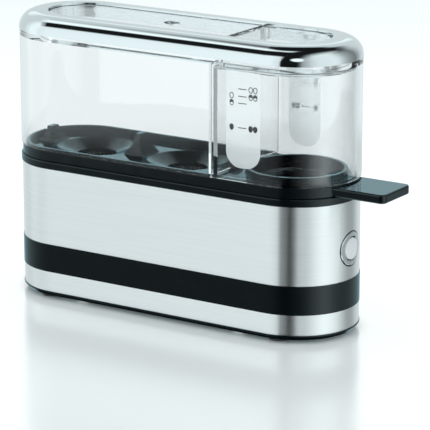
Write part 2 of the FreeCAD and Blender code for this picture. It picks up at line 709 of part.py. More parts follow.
def thermostat():
    cap = upright(THERMOSTAT_CAP_RADIUS, SPREADER_MIDDLE, 0, THERMOSTAT_CAP_BOTTOM, SPREADER_BOTTOM)
    body = upright(THERMOSTAT_BODY_RADIUS, SPREADER_MIDDLE, 0, THERMOSTAT_BOTTOM, THERMOSTAT_CAP_BOTTOM)
    tabs = [tab(x, THERMOSTAT_BOTTOM) for x in thermostat_tab_places()]
    return joined([cap, body] + tabs)


def thermostat_bracket():
    low = THERMOSTAT_CAP_BOTTOM - BRACKET_THICKNESS
    left = SPREADER_MIDDLE - BRACKET_HALF_LENGTH
    right = SPREADER_MIDDLE + BRACKET_HALF_LENGTH
    plate = box(left, right, -BRACKET_HALF_WIDTH, BRACKET_HALF_WIDTH, low, THERMOSTAT_CAP_BOTTOM)
    plate = joined([plate, upright(THERMOSTAT_CAP_RADIUS, SPREADER_MIDDLE, 0, low, THERMOSTAT_CAP_BOTTOM)])
    hole = upright(THERMOSTAT_BODY_RADIUS + FIT_CLEARANCE, SPREADER_MIDDLE, 0, low, THERMOSTAT_CAP_BOTTOM)
    holes = [hole]
    for x in thermostat_screw_places():
        holes.append(upright(SCREW_RADIUS + FIT_CLEARANCE, x, 0, low, THERMOSTAT_CAP_BOTTOM))
    return plate.cut(holes)


def thermostat_screws():
    head_top = THERMOSTAT_CAP_BOTTOM - BRACKET_THICKNESS
    tip = SPREADER_BOTTOM + SPREADER_THICKNESS / 2
    screws = []
    for x in thermostat_screw_places():
        screws.append(screw(x, 0, head_top - SCREW_HEAD_HEIGHT, tip))
    return group(screws)


def thermal_fuse():
    return along_x(FUSE_RADIUS, FUSE_LEFT, FUSE_RIGHT, 0, FUSE_HEIGHT)


def fuse_clip():
    middle, screw_y = fuse_screw_place()
    left = middle - CLIP_LENGTH / 2
    right = middle + CLIP_LENGTH / 2
    hug = FUSE_RADIUS + SEAT_GAP
    side = FUSE_RADIUS + CLIP_WALL
    saddle = box(left, right, -side, side, FUSE_HEIGHT - side, SPREADER_BOTTOM)
    ear_bottom = SPREADER_BOTTOM - CLIP_WALL
    ear = box(left, right, side, screw_y + SCREW_HEAD_RADIUS, ear_bottom, SPREADER_BOTTOM)
    channel = along_x(hug, left, right, 0, FUSE_HEIGHT)
    mouth = box(left, right, -hug, hug, FUSE_HEIGHT, SPREADER_BOTTOM)
    hole = upright(SCREW_RADIUS + FIT_CLEARANCE, middle, screw_y, ear_bottom, SPREADER_BOTTOM)
    return joined([saddle, ear]).cut([channel, mouth, hole])


def fuse_screw():
    x, y = fuse_screw_place()
    head_low = SPREADER_BOTTOM - CLIP_WALL - SCREW_HEAD_HEIGHT
    return screw(x, y, head_low, SPREADER_BOTTOM + SPREADER_THICKNESS / 2)


# Base: the switch behind the button, the terminal block and the leads

def bracket_screw_places():
    x = PLATE_BACK - BRACKET_FOOT_LENGTH / 2
    y = BRACKET_PLATE_HALF / 2
    return [(x, -y), (x, y)]


def switch_bracket():
    foot_left = PLATE_BACK - BRACKET_FOOT_LENGTH
    foot_top = PLATE_TOP + BRACKET_FOOT_THICKNESS
    half = BRACKET_PLATE_HALF
    foot = box(foot_left, PLATE_FACE, -half, half, PLATE_TOP, foot_top)
    plate = box(PLATE_BACK, PLATE_FACE, -half, half, PLATE_TOP, BUTTON_HEIGHT + BRACKET_RISE)
    guide = along_x(GUIDE_OUTER, PLATE_FACE, BEZEL_BACK, 0, BUTTON_HEIGHT)
    rib_top = foot_top + RIB_HEIGHT
    corners = [V(foot_left, -half, foot_top), V(PLATE_BACK, -half, foot_top), V(PLATE_BACK, -half, rib_top)]
    rib = Part.Face(Part.makePolygon(corners + corners[:1])).extrude(V(0, RIB_THICKNESS, 0))
    far_rib = rib.translated(V(0, 2 * half - RIB_THICKNESS, 0))
    bracket = joined([foot, plate, guide, rib, far_rib])
    cuts = [along_x(GUIDE_BORE, PLATE_FACE, BEZEL_BACK, 0, BUTTON_HEIGHT)]
    cuts.append(along_x(STEM_HOLE, PLATE_BACK, PLATE_FACE, 0, BUTTON_HEIGHT))
    for x, y in bracket_screw_places():
        cuts.append(upright(SCREW_RADIUS + FIT_CLEARANCE, x, y, PLATE_TOP, foot_top))
    return bracket.cut(cuts)


def switch_screws():
    head_top = PLATE_TOP + BRACKET_FOOT_THICKNESS + SCREW_HEAD_HEIGHT
    tip = FOOT_HEIGHT + FOOT_RECESS
    return group([screw(x, y, head_top, tip) for x, y in bracket_screw_places()])


def power_switch():
    low = BUTTON_HEIGHT - SWITCH_HALF_HEIGHT
    high = BUTTON_HEIGHT + SWITCH_HALF_HEIGHT
    case = box(SWITCH_BACK, PLATE_BACK, -SWITCH_HALF_WIDTH, SWITCH_HALF_WIDTH, low, high)
    bore_radius = PLUNGER_RADIUS + BUTTON_GAP
    bore = along_x(bore_radius, PLATE_BACK - PLUNGER_BORE_DEPTH, PLATE_BACK, 0, BUTTON_HEIGHT)
    return case.cut(bore)


def switch_tabs():
    return group([tab(x, BUTTON_HEIGHT - SWITCH_HALF_HEIGHT) for x in SWITCH_TAB_PLACES])


def end_round(radius):
    """The body's right round end, taller than the button, out to one radius; its seam faces inwards."""
    blank = upright(radius, SPINE, 0, 0, SLEEVE_TOP)
    return blank.rotated(V(SPINE, 0, 0), V(0, 0, 1), 180)


def button_bezel():
    blank = along_x(BEZEL_OUTER, BEZEL_BACK, FAR, 0, BUTTON_HEIGHT)
    blank = blank.cut(along_x(BEZEL_INNER, BEZEL_BACK, FAR, 0, BUTTON_HEIGHT))
    ring_shape = blank.common(end_round(END_RADIUS + BEZEL_PROUD))
    return ring_shape.makeFillet(BEZEL_EDGE, edges_right_of(ring_shape.Edges, BEZEL_BACK + TOUCH))


def terminal_block():
    half = BLOCK_LENGTH / 2
    block = box(BLOCK_X - half, BLOCK_X + half, BLOCK_FRONT, BLOCK_FRONT + BLOCK_WIDTH, PLATE_TOP, BLOCK_TOP)
    rear = BLOCK_FRONT + BLOCK_WIDTH
    ports = [along_y(LEAD_RADIUS + FIT_CLEARANCE, BLOCK_Y, rear, x, POLE_Z) for x in pole_places()]
    return block.cut(ports)


def pole_places():
    return [BLOCK_X - POLE_PITCH, BLOCK_X, BLOCK_X + POLE_PITCH]


def terminal_screws():
    screw_top = BLOCK_TOP + POLE_SCREW_HEIGHT
    screws = []
    for x in pole_places():
        head = upright(POLE_SCREW_RADIUS, x, BLOCK_Y, BLOCK_TOP, screw_top)
        screws.append(head.cut(cross_slot(x, BLOCK_Y, screw_top - SLOT_DEPTH, screw_top)))
    return group(screws)


def earth_tag():
    eye = upright(EARTH_TAG_RADIUS, EARTH_STUD_X, 0, EARTH_TAG_BOTTOM, LOWER_NUT_BOTTOM)
    barrel_start = -EARTH_TAG_RADIUS + EARTH_TAG_THICKNESS
    barrel = along_y(EARTH_BARREL_RADIUS, EARTH_BARREL_END, barrel_start, EARTH_STUD_X, EARTH_BARREL_Z)
    hole = upright(STUD_RADIUS + SEAT_GAP, EARTH_STUD_X, 0, EARTH_TAG_BOTTOM, LOWER_NUT_BOTTOM)
    return joined([eye, barrel]).cut(hole)


def lead_live():
    pole = pole_places()[2]
    tab_x = SWITCH_TAB_PLACES[0]
    return lead([
        (pole, BLOCK_FRONT, POLE_Z), (pole, POLE_RUN_Y, POLE_Z), (pole, POLE_RUN_Y, LIVE_RUN_Z),
        (tab_x, 0, LIVE_RUN_Z), (tab_x, 0, SWITCH_TAB_END),
    ])


def lead_switched():
    tab_x = SWITCH_TAB_PLACES[1]
    far_tab = thermostat_tab_places()[0]
    return lead([
        (tab_x, 0, SWITCH_TAB_END), (tab_x, 0, SWITCHED_RUN_Z),
        (far_tab, 0, SWITCHED_RUN_Z), (far_tab, 0, THERMOSTAT_BOTTOM - TAB_LENGTH),
    ])


def lead_heater():
    near_tab = thermostat_tab_places()[1]
    return lead([
        (near_tab, 0, THERMOSTAT_BOTTOM - TAB_LENGTH), (near_tab, 0, HEATER_RUN_Z),
        (PIN_TURN_X, ELEMENT_LEG_Y, HEATER_RUN_Z), (PIN_TURN_X, ELEMENT_LEG_Y, ELEMENT_HEIGHT),
        (PIN_END, ELEMENT_LEG_Y, ELEMENT_HEIGHT),
    ])


def lead_neutral():
    pole = pole_places()[1]
    return lead([
        (pole, BLOCK_FRONT, POLE_Z), (pole, NEUTRAL_RUN_Y, POLE_Z), (pole, NEUTRAL_RUN_Y, NEUTRAL_RUN_Z),
        (NEUTRAL_TURN_X, 0, NEUTRAL_RUN_Z), (NEUTRAL_TURN_X, 0, FUSE_HEIGHT), (FUSE_RIGHT, 0, FUSE_HEIGHT),
    ])


def lead_fuse():
    return lead([
        (FUSE_LEFT, 0, FUSE_HEIGHT), (FUSE_TURN_X, 0, FUSE_HEIGHT), (FUSE_TURN_X, 0, FUSE_RUN_Z),
        (FUSE_TURN_X, FUSE_RUN_Y, FUSE_RUN_Z), (PIN_TURN_X, FUSE_RUN_Y, FUSE_RUN_Z),
        (PIN_TURN_X, -ELEMENT_LEG_Y, ELEMENT_HEIGHT), (PIN_END, -ELEMENT_LEG_Y, ELEMENT_HEIGHT),
    ])


def lead_earth():
    pole = pole_places()[0]
    return lead([
        (pole, BLOCK_FRONT, POLE_Z), (pole, POLE_RUN_Y, POLE_Z), (pole, POLE_RUN_Y, EARTH_RUN_Z),
        (EARTH_STUD_X, POLE_RUN_Y, EARTH_RUN_Z), (EARTH_STUD_X, POLE_RUN_Y, EARTH_BARREL_Z),
        (EARTH_STUD_X, EARTH_BARREL_END, EARTH_BARREL_Z),
    ])


# Button that travels into the right end

def power_button():
    cap = along_x(BUTTON_RADIUS, FLANGE_BACK, FAR, 0, BUTTON_HEIGHT)
    cap = cap.common(end_round(END_RADIUS + BEZEL_PROUD + BUTTON_PROUD))
    cap = cap.makeFillet(BUTTON_EDGE, edges_right_of(cap.Edges, FLANGE_BACK + TOUCH))
    flange = along_x(FLANGE_RADIUS, FLANGE_BACK, FLANGE_FRONT, 0, BUTTON_HEIGHT)
    stem = along_x(STEM_RADIUS, STEM_END, FLANGE_BACK, 0, BUTTON_HEIGHT)
    return joined([cap, flange, stem])


def switch_plunger():
    return along_x(PLUNGER_RADIUS, STEM_END - PLUNGER_LENGTH, STEM_END, 0, BUTTON_HEIGHT)


def arc_from(start, direction, end):
    """The arc from start to end that leaves along direction."""
    chord = end - start
    rise = direction.getAngle(chord)
    across = (direction - chord * (direction.dot(chord) / chord.dot(chord))).normalize()
    middle = (start + end) / 2 + across * (chord.Length / 2 * math.tan(rise / 2))
    return Part.Arc(start, middle, end).toShape()


def biarc(start, start_direction, end, end_direction):
    """Two arcs that meet smoothly, between two points with given directions."""
    span = end - start
    along = span.dot(start_direction + end_direction)
    spread = 2 * (1 - start_direction.dot(end_direction))
    reach = (math.sqrt(along ** 2 + spread * span.dot(span)) - along) / spread
    near = start + start_direction * reach
    far = end - end_direction * reach
    meeting = (near + far) / 2
    second = arc_from(end, end_direction * -1, meeting)
    return [arc_from(start, start_direction, meeting), second]


def spring_point(x_start, pitch, quarter):
    angle = math.radians(90 * quarter)
    y = SPRING_RADIUS * math.cos(angle)
    z = BUTTON_HEIGHT + SPRING_RADIUS * math.sin(angle)
    return V(x_start + pitch * quarter / 4, y, z)


def spring_direction(pitch, quarter):
    angle = math.radians(90 * quarter)
    around = 2 * math.pi * SPRING_RADIUS
    return V(pitch, -around * math.sin(angle), around * math.cos(angle)).normalize()


def button_spring():
    x_start = PLATE_FACE + SPRING_WIRE_RADIUS + FIT_CLEARANCE
    x_end = FLANGE_BACK - SPRING_WIRE_RADIUS - FIT_CLEARANCE
    pitch = (x_end - x_start) / SPRING_TURNS
    edges = []
    for quarter in range(4 * SPRING_TURNS):
        start = spring_point(x_start, pitch, quarter)
        end = spring_point(x_start, pitch, quarter + 1)
        edges += biarc(start, spring_direction(pitch, quarter), end, spring_direction(pitch, quarter + 1))
    path = Part.Wire(Part.__sortEdges__(edges))
    print("least gap between the spring's turns:", round(pitch - 2 * SPRING_WIRE_RADIUS, 2))
    return swept(path, SPRING_WIRE_RADIUS, spring_point(x_start, pitch, 0), spring_direction(pitch, 0))


# Egg tray

def egg_places():
    return (EGG_ROW_CENTRE - EGG_PITCH / 2, EGG_ROW_CENTRE + EGG_PITCH / 2)


def egg_post(x, rise):
    """A post between eggs, hollowed at its sides and narrowing towards its top."""
    low = TRAY_DECK_TOP
    high = TRAY_TOP + rise
    waist = (low + high) / 2
    right = [V(x + EGG_POST_BASE, 0, low), V(x + EGG_POST_WAIST, 0, waist), V(x + EGG_POST_TOP, 0, high)]
    left = [V(x - EGG_POST_TOP, 0, high), V(x - EGG_POST_WAIST, 0, waist), V(x - EGG_POST_BASE, 0, low)]
    edges = [
        Part.Arc(*right).toShape(), Part.LineSegment(right[2], left[0]).toShape(),
        Part.Arc(*left).toShape(), Part.LineSegment(left[2], right[0]).toShape(),
    ]
    depth = 2 * EGG_POST_DEPTH_BASE
    across = Part.Face(Part.Wire(edges)).translated(V(0, -depth / 2, 0)).extrude(V(0, depth, 0))
    side = x - EGG_POST_BASE
    corners = [
        V(side, -EGG_POST_DEPTH_BASE, low), V(side, EGG_POST_DEPTH_BASE, low),
        V(side, EGG_POST_DEPTH_TOP, high), V(side, -EGG_POST_DEPTH_TOP, high),
    ]
    along = Part.Face(Part.makePolygon(corners + corners[:1])).extrude(V(2 * EGG_POST_BASE, 0, 0))
    return across.common(along)


def tray_handle():
    half = HANDLE_WIDTH / 2
    tab_top = HANDLE_BOTTOM + HANDLE_THICKNESS
    blank = box(SPINE, HANDLE_TIP, -half, half, HANDLE_BOTTOM, tab_top)
    corners = []
    for edge in blank.Edges:
        bounds = edge.BoundBox
        if bounds.XMin > HANDLE_TIP - TOUCH and bounds.ZLength > HANDLE_THICKNESS - TOUCH:
            corners.append(edge)
    blank = blank.makeFillet(HANDLE_CORNER, corners)
    rims = []
    for edge in level_edges(blank, tab_top) + level_edges(blank, HANDLE_BOTTOM):
        if edge.BoundBox.XMax > SPINE + TOUCH:
            rims.append(edge)
    return blank.makeFillet(HANDLE_EDGE, rims)


def egg_seat(x):
    """The wall of a cone seat, before its inside is cut."""
    low = TRAY_DECK_TOP - SEAT_DEPTH - SEAT_WALL
    foot_radius = SEAT_HOLE_RADIUS + SEAT_WALL
    mouth_radius = SEAT_MOUTH_RADIUS + SEAT_WALL
    wall = Part.makeCone(foot_radius, mouth_radius, SEAT_DEPTH, V(x, 0, low))
    return wall.fuse(upright(mouth_radius, x, 0, low + SEAT_DEPTH, TRAY_DECK_TOP))


def egg_seat_room(x):
    low = TRAY_DECK_TOP - SEAT_DEPTH
    cone = Part.makeCone(SEAT_HOLE_RADIUS, SEAT_MOUTH_RADIUS, SEAT_DEPTH, V(x, 0, low))
    return cone.fuse(upright(SEAT_HOLE_RADIUS, x, 0, low - SEAT_WALL, low))


def plug_well(wall):
    """The plug's round well with a wall of given thickness round it, up to the plug's top."""
    mouth_radius = PLUG_RADIUS - PLUG_RIM + wall
    low = TRAY_TOP + PLUG_HEIGHT - WELL_DEPTH - wall
    well = Part.makeCone(mouth_radius - WELL_DRAFT, mouth_radius, WELL_DEPTH + wall, V(SPINE, 0, low))
    return well.makeFillet(WELL_CORNER + wall, level_edges(well, low))


def tray_blank(bay_end):
    """Rim, skirt, deck, handle and the closed right bay with the plug that the cup stands over."""
    rim = body_run(TRAY_RADIUS, HANDLE_BOTTOM, TRAY_TOP)
    rim = rim.makeFillet(TRAY_EDGE, level_edges(rim, TRAY_TOP))
    step = body_run(TRAY_RADIUS - TRAY_STEP, COLLAR_TOP, HANDLE_BOTTOM)
    skirt = body_run(TRAY_SKIRT_OUTER, TRAY_SKIRT_BOTTOM, COLLAR_TOP)
    plug = upright(PLUG_RADIUS, SPINE, 0, TRAY_TOP, TRAY_TOP + PLUG_HEIGHT)
    egg_room = body_run(TRAY_RIM_INNER, TRAY_DECK_TOP, TRAY_TOP).common(left_of(bay_end))
    under_radius = TRAY_SKIRT_OUTER - TRAY_WALL
    under_room = body_run(under_radius, TRAY_SKIRT_BOTTOM, TRAY_DECK_BOTTOM)
    bay_room = body_run(under_radius, TRAY_DECK_BOTTOM, TRAY_TOP - TRAY_DECK)
    bay_room = bay_room.common(right_of(bay_end + TRAY_WALL))
    blank = joined([rim, step, skirt, tray_handle(), plug]).cut([egg_room, under_room, bay_room])
    return joined([blank, plug_well(WELL_WALL)]).cut(plug_well(0))


def egg_tray():
    bay_end = PARTITION_X - LIFT_CLEARANCE
    upstand_outer = HOOD_INNER - SLIDE_CLEARANCE
    upstand = ring(upstand_outer, upstand_outer - UPSTAND_WALL, TRAY_TOP, TRAY_TOP + UPSTAND_HEIGHT)
    upstand = upstand.common(left_of(bay_end))
    seats = [egg_seat(x) for x in egg_places()]
    inside = body_run(upstand_outer, TRAY_DECK_TOP, FAR).common(left_of(bay_end))
    posts = [
        egg_post(EGG_ROW_CENTRE - EGG_PITCH, END_POST_RISE),
        egg_post(EGG_ROW_CENTRE, MIDDLE_POST_RISE),
        egg_post(EGG_ROW_CENTRE + EGG_PITCH, END_POST_RISE),
    ]
    posts = [post.common(inside) for post in posts]
    rooms = [egg_seat_room(x) for x in egg_places()]
    return joined([tray_blank(bay_end), upstand] + seats + posts).cut(rooms)


# Measuring cup, standing upside down on the tray

def opening_run(radius, z_low, z_high):
    """A bar on the line of centres of the frame's opening."""
    return run(-OPENING_SPINE, OPENING_SPINE, radius, z_low, z_high)


def cup_blank(inset, z_low, z_high):
    """The cup's half-round outline, drawn in by inset."""
    return body_run(CUP_OUTER - inset, z_low, z_high).common(right_of(CUP_LEFT + inset))


def cup_panel(inset, z_low, z_high):
    return opening_run(CUP_PANEL_RADIUS - inset, z_low, z_high).common(right_of(CUP_LEFT + inset))


def measuring_cup():
    shell = cup_blank(0, TRAY_TOP, CUP_SHOULDER)
    round_edges = [edge for edge in level_edges(shell, CUP_SHOULDER) if edge.BoundBox.XMax > CUP_LEFT + TOUCH]
    shell = shell.makeFillet(CUP_EDGE, round_edges)
    bead = cup_blank(-CUP_BEAD, TRAY_TOP, TRAY_TOP + CUP_BEAD_HEIGHT)
    raised = cup_panel(0, CUP_SHOULDER, PANEL_TOP)
    raised = raised.makeFillet(PANEL_EDGE, level_edges(raised, PANEL_TOP))
    room = cup_blank(CUP_WALL, TRAY_TOP, CUP_SHOULDER - CUP_WALL)
    raised_room = cup_panel(CUP_WALL, CUP_SHOULDER - CUP_WALL, PANEL_TOP - CUP_WALL)
    return joined([shell, bead, raised]).cut([room, raised_room])


def scale_film(front):
    half = SCALE_WIDTH / 2
    low = TRAY_TOP + SCALE_BOTTOM_RISE
    high = CUP_SHOULDER - SCALE_TOP_DROP
    film = box(SCALE_X - half, SCALE_X + half, CUP_OUTER, CUP_OUTER + SCALE_THICKNESS, low, high)
    corners = []
    for edge in film.Edges:
        bounds = edge.BoundBox
        if bounds.ZMax < low + TOUCH and bounds.YLength > SCALE_THICKNESS - TOUCH:
            corners.append(edge)
    film = film.makeFillet(SCALE_CORNER, corners)
    return film.mirror(V(0, 0, 0), V(0, 1, 0)) if front else film


def scale_films():
    return group([scale_film(True), scale_film(False)])


# Clear hood and its chrome frame

def hood_shell():
    walls = body_run(HOOD_OUTER, TRAY_TOP, HOOD_SHOULDER)
    room = body_run(HOOD_INNER, TRAY_TOP, CEILING_BOTTOM)
    raised = opening_run(PANEL_RADIUS, HOOD_SHOULDER, PANEL_TOP).common(left_of(PANEL_END))
    raised = raised.makeFillet(PANEL_EDGE, level_edges(raised, PANEL_TOP))
    panel_bottom = PANEL_TOP - PANEL_THICKNESS
    raised_room = opening_run(PANEL_RADIUS - PANEL_THICKNESS, CEILING_BOTTOM, panel_bottom)
    raised_room = raised_room.common(left_of(PANEL_END - PANEL_THICKNESS))
    partition = body_run(HOOD_INNER, TRAY_TOP + PARTITION_LIFT, CEILING_BOTTOM)
    partition = partition.common(right_of(PARTITION_X)).common(left_of(PARTITION_RIGHT))
    cup_hole = opening_run(OPENING_RADIUS, CEILING_BOTTOM, HOOD_SHOULDER)
    cup_hole = cup_hole.common(right_of(PARTITION_RIGHT))
    vent = upright(VENT_RADIUS, VENT_X, 0, CEILING_BOTTOM, FRAME_TOP)
    shell = joined([walls, raised]).cut([room, raised_room, cup_hole, vent])
    return joined([shell, partition])


def frame_dome(inset):
    """The frame's outer form with no opening, drawn in by inset all over."""
    def on_shoulder(angle):
        reach = FRAME_SHOULDER - inset
        return V(0, SHOULDER_CENTRE_R + reach * math.sin(angle), SHOULDER_CENTRE_Z + reach * math.cos(angle))

    def on_crown(angle):
        reach = CROWN_RADIUS - inset
        return V(0, FRAME_CROWN_END + reach * math.sin(angle), CROWN_CENTRE_Z + reach * math.cos(angle))

    crown_turn = math.radians(FRAME_CROWN_ANGLE)
    level_turn = math.radians(90)
    side_high = on_shoulder(level_turn)
    shoulder_middle = on_shoulder((crown_turn + level_turn) / 2)
    crown_start = on_shoulder(crown_turn)
    crown_middle = on_crown(crown_turn / 2)
    crown_end = on_crown(0)
    side_low = V(0, FRAME_OUTER - inset, HOOD_SHOULDER)
    middle_low = V(0, 0, HOOD_SHOULDER)
    middle_high = V(0, 0, FRAME_TOP - inset)
    edges = [
        Part.LineSegment(middle_low, side_low).toShape(),
        Part.LineSegment(side_low, side_high).toShape(),
        Part.Arc(side_high, shoulder_middle, crown_start).toShape(),
        Part.Arc(crown_start, crown_middle, crown_end).toShape(),
        Part.LineSegment(crown_end, middle_high).toShape(),
        Part.LineSegment(middle_high, middle_low).toShape(),
    ]
    half = Part.Face(Part.Wire(edges))
    rear = half.translated(V(-SPINE, 0, 0)).extrude(V(2 * SPINE, 0, 0))
    front = rear.mirror(V(0, 0, 0), V(0, 1, 0))
    right_end = half.translated(V(SPINE, 0, 0)).revolve(V(SPINE, 0, 0), V(0, 0, 1), -180)
    left_end = half.translated(V(-SPINE, 0, 0)).revolve(V(-SPINE, 0, 0), V(0, 0, 1), 180)
    return joined([rear, front, right_end, left_end])


def hood_frame():
    opening = opening_run(OPENING_RADIUS, HOOD_SHOULDER, FRAME_TOP)
    inner_wall = opening_run(OPENING_RADIUS + FRAME_WALL, HOOD_SHOULDER, FRAME_TOP)
    hollow = frame_dome(FRAME_WALL).cut(inner_wall)
    return frame_dome(0).cut([opening, hollow])


PIECES = [
    bottom_plate, rubber_feet, base_screws, base_sleeve, trim_band, base_collar, cord_bush,
    heating_dish, dish_seal, heat_spreader, heating_element, element_pins, dish_studs, dish_bridges,
    stud_nuts, heat_shield, thermostat, thermostat_bracket, thermostat_screws, thermal_fuse, fuse_clip,
    fuse_screw, switch_bracket, switch_screws, power_switch, switch_tabs, button_bezel, terminal_block,
    terminal_screws, earth_tag, lead_live, lead_switched, lead_heater, lead_neutral, lead_fuse, lead_earth,
    power_button, switch_plunger, button_spring, egg_tray, measuring_cup, scale_films, hood_shell, hood_frame,
]

os.makedirs("parts", exist_ok=True)
for make in PIECES:
    shape = make().translated(V(-ORIGIN_X, 0, 0))
    shape.exportStep("parts/" + make.__name__ + ".step")
    print(make.__name__, len(shape.Solids), shape.isValid(), round(shape.Volume, 1))
print("origin stands at x =", round(ORIGIN_X, 3), "on the base's own line of centres")
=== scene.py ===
import bmesh
import bpy
import json
import math
from mathutils import Matrix, Vector


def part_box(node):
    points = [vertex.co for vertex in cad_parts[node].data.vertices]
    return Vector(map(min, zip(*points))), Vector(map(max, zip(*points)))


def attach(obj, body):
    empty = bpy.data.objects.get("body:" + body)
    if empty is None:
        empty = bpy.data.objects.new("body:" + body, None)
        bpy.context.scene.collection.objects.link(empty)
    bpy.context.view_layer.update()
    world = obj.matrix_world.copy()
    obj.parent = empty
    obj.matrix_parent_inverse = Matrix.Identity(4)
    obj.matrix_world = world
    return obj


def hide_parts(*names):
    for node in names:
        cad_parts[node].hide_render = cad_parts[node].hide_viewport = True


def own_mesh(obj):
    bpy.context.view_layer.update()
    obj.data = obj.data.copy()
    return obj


# Egg cooker: materials, printed marks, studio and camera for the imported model.
# Units are metres in the model's own frame: +X towards the handle, -Y the front, +Z up.

MM = 0.001
HALF_TURN = 180.0
FULL_TURN = 360.0

# Camera, at the photograph's viewing angle
CAMERA_AZIMUTH = 33.68
CAMERA_ELEVATION = 16.25
CAMERA_DISTANCE = 1.287
CAMERA_PIVOT = Vector((-12.15, 0.0, 21.0)) * MM
AIM_POINT = Vector((-4.35, 13.2, 43.8)) * MM
LENS = 218.5
SENSOR_WIDTH = 36.0

# Studio light by compass direction in degrees, 0 at the front and 90 at the handle's side
DEEP_LIGHT = (
    (-180, 0.02), (-80, 0.02), (-60, 1.45), (-25, 1.45), (-8, 1.30), (0, 1.30), (8, 1.00),
    (14, 0.02), (19, 0.02), (26, 0.60), (31, 1.90), (42, 1.80), (50, 1.20), (70, 0.80), (105, 0.80),
    (120, 1.30), (140, 1.30), (155, 0.02), (180, 0.02),
)
TABLE_LIGHT = (
    (-180, 0.65), (-125, 0.74), (-103, 0.58), (-81, 0.45), (-59, 0.30), (-32, 0.16), (-12, 0.12),
    (-2, 0.05), (9, 0.00), (19, 0.02), (29, 0.07), (39, 0.16), (49, 0.33), (59, 0.68), (69, 1.00),
    (79, 1.33), (90, 1.26), (100, 0.90), (110, 0.65), (120, 0.50), (140, 0.43), (180, 0.65),
)
HORIZON_LIGHT = (
    (-180, 0.85), (-165, 0.85), (-141, 0.80), (-122, 0.85), (-95, 0.85), (-85, 1.00), (-72, 1.27),
    (-60, 1.27), (-48, 1.12), (-32, 1.23), (-20, 1.20), (-7, 1.05), (-3, 0.95), (-0.5, 0.01),
    (28, 0.01), (32, 0.10), (38, 0.45), (52, 0.80), (65, 1.02), (77, 1.06), (100, 1.10), (108, 1.00),
    (118, 0.72), (128, 0.48), (140, 0.34), (150, 0.25), (160, 0.50), (171, 0.75), (180, 0.85),
)
HIGH_LIGHT = (
    (-180, 0.82), (-150, 0.87), (-131, 1.15), (-115, 1.38), (-60, 1.38), (-30, 1.00), (-3, 0.60),
    (2, 0.01), (34, 0.05), (52, 0.90), (65, 1.20), (140, 1.20), (165, 0.85), (180, 0.82),
)
# The rings of light from below upwards, each with the elevations between which it fades in
LIGHT_RINGS = (
    ((-66.0, -60.0), DEEP_LIGHT),
    ((-36.0, -30.0), TABLE_LIGHT),
    ((-13.9, -12.9), HORIZON_LIGHT),
    ((44.0, 56.0), HIGH_LIGHT),
)
NADIR_LIGHT = 0.01
# A dark flag hangs along the front, by tilt in degrees about the long axis and by direction along X
FLAG_LIGHT = 0.012
FLAG_REAR = (94.0, 103.0)
FLAG_FRONT = (137.0, 127.0)
FLAG_LEFT = (-0.74, -0.60)
FLAG_RIGHT = (0.20, 0.05)
# Another hangs across, by direction along X and by elevation
CROSS_LEFT = (-0.14, 0.05)
CROSS_RIGHT = (0.68, 0.26)
CROSS_LOW = (28.0, 54.0)
# A third hangs behind, high up
BEHIND_COMPASS = -146.0
BEHIND_ELEVATION = 66.0
BEHIND_EDGE = (26.0, 16.0)
# A small lamp in front of the dark flags
LAMP_COMPASS = 29.0
LAMP_ELEVATION = 31.0
LAMP_EDGE = (13.0, 8.0)
LAMP_LIGHT = 1.35
# The backdrop, behind the object and above the horizon, by elevation and by direction along X and Y
BACKDROP_LOW = (12.8, 13.6)
BACKDROP_HIGH = (30.0, 20.0)
BACKDROP_LEFT = (-0.82, -0.72)
BACKDROP_RIGHT = (-0.25, -0.40)
BACKDROP_REAR = (0.3, 0.5)
BACKDROP_LIGHT = 1.15
LIGHT_PEAK = 2.0
LIGHT_TINT = (0.90, 1.0, 1.02)
# Plain light on matt surfaces, through clear walls, and where nothing is in front of the camera
DOME_LIGHT = (1.80, 1.875, 1.90)
THROUGH_LIGHT = (0.885, 0.93, 0.94)
EMPTY_LIGHT = (1.0, 1.0, 1.0)
FLOOR_SIZE = 12.0
FLOOR_COLOUR = (0.488, 0.508, 0.504)
FLOOR_ROUGHNESS = 0.20
FLOOR_IOR = 2.0
# Broad lamps far out on all sides, mirrored by the floor alone
GLARE_COUNT = 8
GLARE_DISTANCE = 3.0
GLARE_SIZE = (2.6, 1.8)
GLARE_MIDDLE = 1.4
GLARE_POWER = 10.0
GLARE_TINT = (1.0, 0.80, 0.78)
# How many walls and mirrors a ray of light may meet
LIGHT_BOUNCES = 32

# The part of a noise pattern's range that counts, and how finely edges are softened
PATTERN_LOW = 0.3
PATTERN_HIGH = 0.7
EDGE_SAMPLES = 4
# Brushing runs level, a quarter turn from the way reflections are drawn out
BRUSHED_TURN = 0.25
# What all plastics share: mottle, grain, edge radius, and how far roughness strays to either side
MOTTLE_SIZE = 6 * MM
GRAIN_SIZE = 0.35 * MM
PLASTIC_GRAIN_DEPTH = 0.006 * MM
PLASTIC_EDGE = 0.25 * MM
PLASTIC_SPREAD = 0.15
# Each plastic: dark and light tone, and roughness
PLASTICS = {
    "pale_plastic": ((0.62, 0.60, 0.53), (0.68, 0.66, 0.59), 0.5),
    "dark_plastic": ((0.020, 0.020, 0.022), (0.028, 0.028, 0.030), 0.45),
    "satin_button": ((0.43, 0.45, 0.46), (0.46, 0.48, 0.49), 0.35),
}
# Each rubber: dark and light tone
RUBBERS = {
    "black_rubber": ((0.012, 0.013, 0.014), (0.025, 0.027, 0.028)),
    "silicone": ((0.45, 0.45, 0.43), (0.52, 0.52, 0.50)),
    "brown_lead": ((0.10, 0.045, 0.02), (0.13, 0.06, 0.03)),
    "blue_lead": ((0.02, 0.07, 0.25), (0.03, 0.10, 0.32)),
    "green_lead": ((0.10, 0.26, 0.03), (0.16, 0.34, 0.04)),
}
